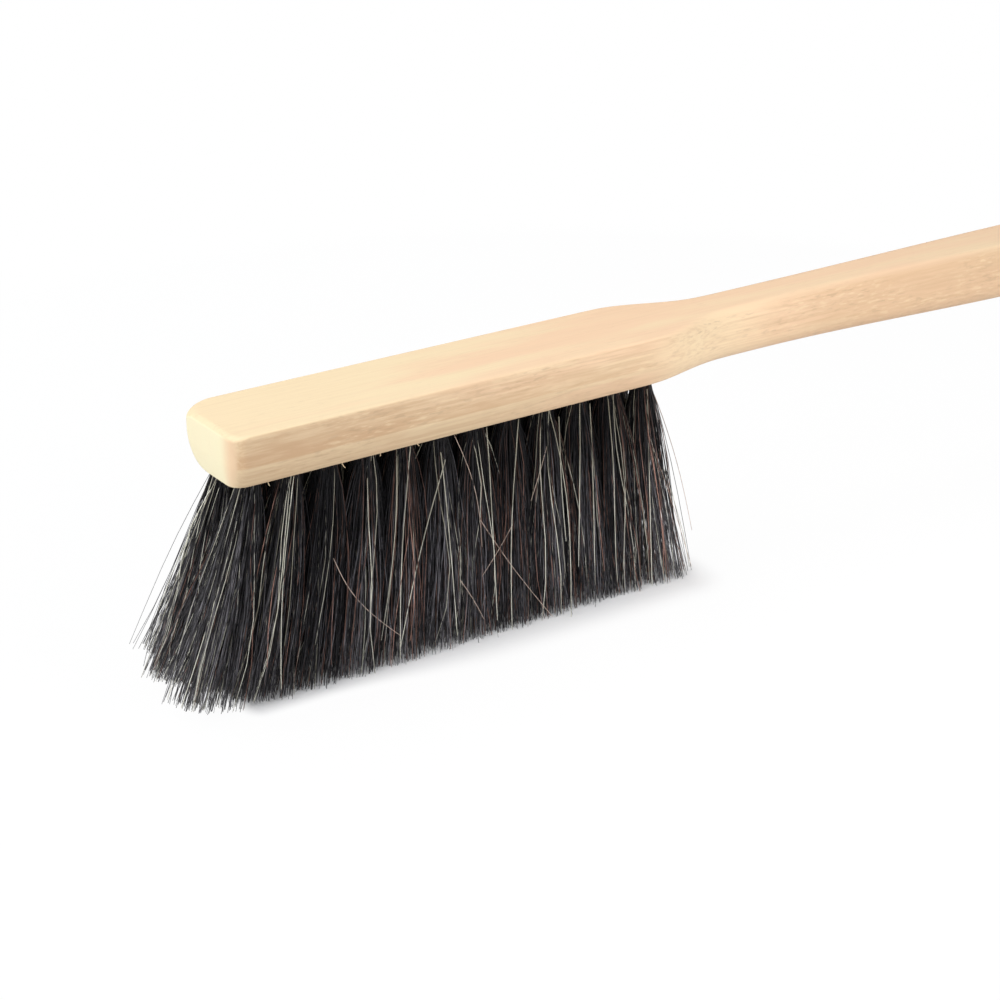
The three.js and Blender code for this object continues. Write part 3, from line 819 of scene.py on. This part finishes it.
def fibre_tone():
    """Shader group: a fibre's own shade between two colours, and how rough it is.

    The shade grows from its share at the root towards the tip, the root's share being painted shade under
    the head, and wavers along the fibre by painted glints."""
    group = bpy.data.node_groups.new("fibre_tone", "ShaderNodeTree")
    for way, name, kind in (("INPUT", "Dark", "Color"), ("INPUT", "Pale", "Color"),
                            ("INPUT", "Root", "Float"), ("INPUT", "Glint", "Float"),
                            ("OUTPUT", "Colour", "Color"), ("OUTPUT", "Roughness", "Float")):
        group.interface.new_socket(name, in_out=way, socket_type=f"NodeSocket{kind}")
    given = group.nodes.new("NodeGroupInput").outputs
    tone = add(group, "ShaderNodeAttribute", attribute_name="tone").outputs["Fac"]
    along = add(group, "ShaderNodeAttribute", attribute_name="along").outputs["Fac"]
    place = add(group, "ShaderNodeTexCoord").outputs["Object"]
    x = add(group, "ShaderNodeSeparateXYZ", {0: place}).outputs["X"]
    # Painted shade at the roots under the head, and a painted sheen on the front roots
    rooted = maths(group, "MULTIPLY", fade(group, x, **FRONT_ROOTS), fade(group, x, **REAR_ROOTS))
    root = maths(group, "MULTIPLY", given["Root"], rooted)
    # Painted glints along the fibres
    glint = fade(group, grain(group, place, GLINT_GRAIN), **GLINT)
    waver = maths(group, "ADD", maths(group, "MULTIPLY", given["Glint"], glint), 1.0)
    grown = fade(group, along, start=root, **TIP_SHADE)
    share = maths(group, "MULTIPLY", tone, grown, waver, fade(group, x, **REAR_SHADE))
    shade = blend(group, share, given["Dark"], given["Pale"])
    add(group, "NodeGroupOutput", {"Colour": shade, "Roughness": fade(group, tone, **FIBRE_ROUGHNESS)})
    return group


def fibre(name, dark, pale, root, glint, group):
    """The material of one kind of fibre."""
    _, tree, shader = new_material(name)
    given = {"Dark": (*dark, 1), "Pale": (*pale, 1), "Root": root, "Glint": glint}
    tone = add(tree, "ShaderNodeGroup", given, node_tree=group).outputs
    feed(tree, shader, {"Base Color": tone["Colour"], "Roughness": tone["Roughness"], "IOR": 1.36})


# Share of its shade that each kind of fibre has at the root, where painted shade darkens it, and how far
# its painted glint wavers
FIBRE_SHEEN = {"black": (0.15, 0.6), "brown": (0.3, 0.5), "straw": (0.42, 0.3), "tan": (0.9, 0.2)}


def fibre_materials(c):
    """The three fibres of the mix and the tan of single stray ones, made once."""
    if "fibre_tone" not in bpy.data.node_groups:
        group = fibre_tone()
        for kind, (root, glint) in FIBRE_SHEEN.items():
            dark, pale = getattr(c, f"{kind}_deep"), getattr(c, f"{kind}_pale")
            fibre(f"{kind}_fibre", dark, pale, root, glint, group)
    return {kind: bpy.data.materials[f"{kind}_fibre"] for kind in FIBRE_SHEEN}


# Marks on the wire, to the millimetre along, across and up, and the roughness that they make
WIRE_MARKS = (0.6, 0.6, 9.0)
WIRE_ROUGHNESS = dict(low=0.3, high=0.7, start=0.25, end=0.45)


def flat_wire(c):
    """Rolled steel wire with faint lengthwise marks."""
    material, tree, shader = new_material("flat_wire")
    marks = grain(tree, millimetres(tree), WIRE_MARKS)
    steel = blend(tree, marks, c.steel, c.steel_marks)
    rough = fade(tree, marks, **WIRE_ROUGHNESS)
    feed(tree, shader, {"Base Color": steel, "Roughness": rough, "Metallic": 1.0})
    return material


class WASHBRUSH_OT_stock(Operator):
    """Makes the one-piece beech stock with its drilled tuft holes and hang hole"""
    bl_idname = "washbrush.stock"
    bl_label = "Beech stock"

    def execute(self, context):
        s, t, c, _ = settings(context)
        wood = beech(c)
        stock = stock_skin(s, wood)
        under = s.top - s.head_thick
        below = under - DRILL_PAST
        hole = [(0, below), (t.hole_radius, below), (t.hole_radius, under + t.hole_depth),
                (0, under + t.hole_depth + t.hole_cone)]
        cut(stock, turned("tuft_drill", hole, np.concatenate(tuft_centres(t)), HOLE_SIDES, wood))
        hang = np.array([[STOCK_HIGH.x - s.hang_inset, 0.0]])
        wide = s.hang_radius + s.hang_flare + DRILL_PAST
        low, above = STOCK_LOW.z, s.top + DRILL_PAST
        below = low - DRILL_PAST
        mouth = [(0, below), (wide, below), (s.hang_radius, low + s.hang_flare),
                 (s.hang_radius, s.top - s.hang_flare), (wide, above), (0, above)]
        cut(stock, turned("hang_drill", mouth, hang, 2 * HOLE_SIDES, wood))
        weld(stock, sharp=SHARP_EDGE)
        note_facing(stock)
        carry(stock, "beech", "stock")
        paths = splinter_paths(s)
        radii = np.full(len(paths), SPLINTER_RADIUS)
        carry(fibre_tubes("edge_splinters", paths, radii, np.ones(len(paths)), wood), "beech")
        return {"FINISHED"}


class WASHBRUSH_OT_bristles(Operator):
    """Makes the fibres of each row of tufts, with a piece for each kind of fibre in the mix"""
    bl_idname = "washbrush.bristles"
    bl_label = "Fibre tufts"

    def execute(self, context):
        _, t, c, _ = settings(context)
        materials = fibre_materials(c)
        rng = np.random.default_rng(SEED)
        for row, centres in enumerate(tuft_centres(t)):
            for kind, mix in FIBRE_MIX.items():
                paths, kept = fibre_paths(row, centres, getattr(t, kind), mix, t, rng)
                radii = mix["radius"] * rng.uniform(*RADIUS_RANGE, len(paths))
                # The fibres' tone holds their tuft's painted shade
                tone = rng.beta(*mix["shades"], len(paths)) * kept
                piece = fibre_tubes(f"{ROWS[row]}_{kind}", paths, radii, tone, materials[kind])
                carry(piece, "fibre", ROWS[row])
        return {"FINISHED"}


class WASHBRUSH_OT_laid_fibres(Operator):
    """Makes the single fibres that lie across the near face of the trim"""
    bl_idname = "washbrush.laid_fibres"
    bl_label = "Stray fibres"

    def execute(self, context):
        _, t, c, _ = settings(context)
        materials = fibre_materials(c)
        rng = np.random.default_rng(SEED + 1)
        for name, (kind, places, radius) in LAID.items():
            paths = laid_paths(places, t)
            radii = np.full(len(paths), radius)
            tone = rng.uniform(*LAID_TONES, len(paths))
            carry(fibre_tubes(name, paths, radii, tone, materials[kind]), "fibre")
        return {"FINISHED"}


class WASHBRUSH_OT_anchors(Operator):
    """Gives the flat-wire anchors in the tuft holes their steel finish"""
    bl_idname = "washbrush.anchors"
    bl_label = "Tuft anchors"

    def execute(self, context):
        _, _, c, _ = settings(context)
        wire = flat_wire(c)
        for name in ANCHORS:
            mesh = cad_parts[name].data
            mesh.materials.clear()
            mesh.materials.append(wire)
        return {"FINISHED"}


# Lamps: place, side of the square in metres, and power in watts
LAMPS = {
    "key_light": ((-1.3, -0.15, 0.75), 0.8, 13),
    "top_light": ((-0.15, 0.65, 1.3), 1.0, 10.6),
    "right_light": ((0.12, -0.45, 0.25), 0.3, 1.6),
}


def lamp(name, place, target, side, power):
    """A large square soft light aimed at a point."""
    data = bpy.data.lights.new(name, "AREA")
    data.shape = "SQUARE"
    data.size = side
    data.energy = power
    lamp_object = bpy.data.objects.new(name, data)
    lamp_object.location = place
    lamp_object.rotation_euler = (target - place).to_track_quat("-Z", "Y").to_euler()
    bpy.context.scene.collection.objects.link(lamp_object)


# The floor's half size in metres. Its shadow is kept under a box as wide as so many heads, fades over a
# width that grows behind the front, and has so much white in it. Far from the brush, the floor is white
FLOOR_HALF = 4
SHADOW_HEADS = 1.5
SHADOW_WIDTH = dict(low=-0.19, high=-0.11, start=8 * MM, end=21 * MM)
SHADOW_WHITE = 0.1
FAR_WHITE = dict(low=0.15, high=0.45)


def studio_floor(s, t, c, w):
    """A wide pale floor that keeps the brush's shadow, with a share of plain white where it is seen."""
    material, tree, shader = new_material("studio_floor")
    path = add(tree, "ShaderNodeLightPath").outputs
    seen = maths(tree, "MAXIMUM", path["Is Camera Ray"], path["Is Glossy Ray"], path["Is Transmission Ray"])
    feed(tree, shader, {"Base Color": blend(tree, seen, c.floor, c.floor_seen), "Roughness": 0.9})
    place = add(tree, "ShaderNodeTexCoord").outputs["Object"]
    half_length = 0.5 * t.pitch * t.tufts
    outside = vector_maths(tree, "SUBTRACT", place, (STOCK_LOW.x + half_length, 0, 0))
    outside = vector_maths(tree, "ABSOLUTE", outside)
    outside = vector_maths(tree, "SUBTRACT", outside, (half_length, SHADOW_HEADS * s.head_half, 0))
    outside = vector_maths(tree, "MAXIMUM", outside)
    away = add(tree, "ShaderNodeVectorMath", {0: outside}, operation="LENGTH").outputs["Value"]
    lengthways = add(tree, "ShaderNodeSeparateXYZ", {0: place}).outputs["X"]
    width = fade(tree, lengthways, **SHADOW_WIDTH)
    near = fade(tree, away, 0, width, SHADOW_WHITE, w.floor_glow)
    share = maths(tree, "MULTIPLY", seen, maths(tree, "MAXIMUM", near, fade(tree, away, **FAR_WHITE)))
    white = add(tree, "ShaderNodeEmission", {"Color": (1, 1, 1, 1), "Strength": 1.0}).outputs[0]
    mixed = add(tree, "ShaderNodeMixShader", {0: share, 1: shader.outputs[0], 2: white}).outputs[0]
    feed(tree, tree.nodes["Material Output"], {"Surface": mixed})
    reach = np.linspace(-FLOOR_HALF, FLOOR_HALF, 3)
    x, y = np.meshgrid(reach, reach)
    points = np.stack([x, y, np.zeros_like(x)], axis=-1).reshape(-1, 3)
    floor = make_piece("floor", material, points, grid_quads(3, 3)[:, ::-1])


def studio_sky(w):
    """Even light from all round, plain white where the camera sees it, also through glass."""
    world = bpy.data.worlds.new("studio")
    bpy.context.scene.world = world
    world.use_nodes = True
    tree = world.node_tree
    path = add(tree, "ShaderNodeLightPath").outputs
    seen = maths(tree, "MAXIMUM", path["Is Camera Ray"], path["Is Transmission Ray"])
    feed(tree, tree.nodes["Background"], {"Color": blend(tree, seen, w.sky, (1, 1, 1))})


# Width of the camera's sensor in millimetres, and how far it sees in metres
SENSOR_WIDTH = 36
CLIP_END = 50


def studio_camera(s, w):
    """The camera, set back from the point that it looks at along its turn and tilt."""
    flat = math.cos(w.tilt)
    back = Vector((math.sin(w.turn) * flat, -math.cos(w.turn) * flat, math.sin(w.tilt)))
    look = Vector((STOCK_LOW.x + w.look[0], w.look[1], s.top - s.head_thick + w.look[2]))
    data = bpy.data.cameras.new("camera")
    data.lens = w.lens
    data.sensor_width = SENSOR_WIDTH
    data.clip_end = CLIP_END
    camera = bpy.data.objects.new("camera", data)
    camera.location = look + back * w.distance
    camera.rotation_euler = back.to_track_quat("Z", "Y").to_euler()
    bpy.context.scene.collection.objects.link(camera)
    bpy.context.scene.camera = camera


class WASHBRUSH_OT_studio(Operator):
    """Makes the floor, the light and the camera"""
    bl_idname = "washbrush.studio"
    bl_label = "Studio"

    def execute(self, context):
        s, t, c, w = settings(context)
        context.scene.view_settings.view_transform = "Standard"
        studio_floor(s, t, c, w)
        studio_sky(w)
        aim = Vector((0, 0, s.top))
        for name, (place, side, power) in LAMPS.items():
            lamp(name, Vector(place), aim, side, power)
        studio_camera(s, w)
        return {"FINISHED"}


OPERATORS = (WASHBRUSH_OT_stock, WASHBRUSH_OT_bristles, WASHBRUSH_OT_laid_fibres, WASHBRUSH_OT_anchors,
             WASHBRUSH_OT_studio)


class WASHBRUSH_PT_panel(Panel):
    """Lists the brush's pieces and their settings"""
    bl_label = "Wash Brush"
    bl_idname = "WASHBRUSH_PT_panel"
    bl_space_type = "VIEW_3D"
    bl_region_type = "UI"
    bl_category = "Wash Brush"

    def draw(self, context):
        for operator in OPERATORS:
            self.layout.operator(operator.bl_idname)
        for group in settings(context):
            box = self.layout.box()
            for name in group.__annotations__:
                box.prop(group, name)


GROUPS = {
    "wash_stock": StockSizes,
    "wash_tufts": TuftSizes,
    "wash_finishes": Finishes,
    "wash_studio": Studio,
}
CLASSES = (*GROUPS.values(), *OPERATORS, WASHBRUSH_PT_panel)


def register():
    """Adds the classes and the settings to Blender."""
    for cls in CLASSES:
        bpy.utils.register_class(cls)
    for name, group in GROUPS.items():
        setattr(bpy.types.Scene, name, PointerProperty(type=group))


def unregister():
    """Takes the settings and the classes out again."""
    for name in GROUPS:
        delattr(bpy.types.Scene, name)
    for cls in reversed(CLASSES):
        bpy.utils.unregister_class(cls)


def main():
    """Registers the add-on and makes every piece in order."""
    register()
    bpy.ops.washbrush.studio()
    bpy.ops.washbrush.stock()
    bpy.ops.washbrush.bristles()
    bpy.ops.washbrush.laid_fibres()
    bpy.ops.washbrush.anchors()


if __name__ == "__main__":
    main()
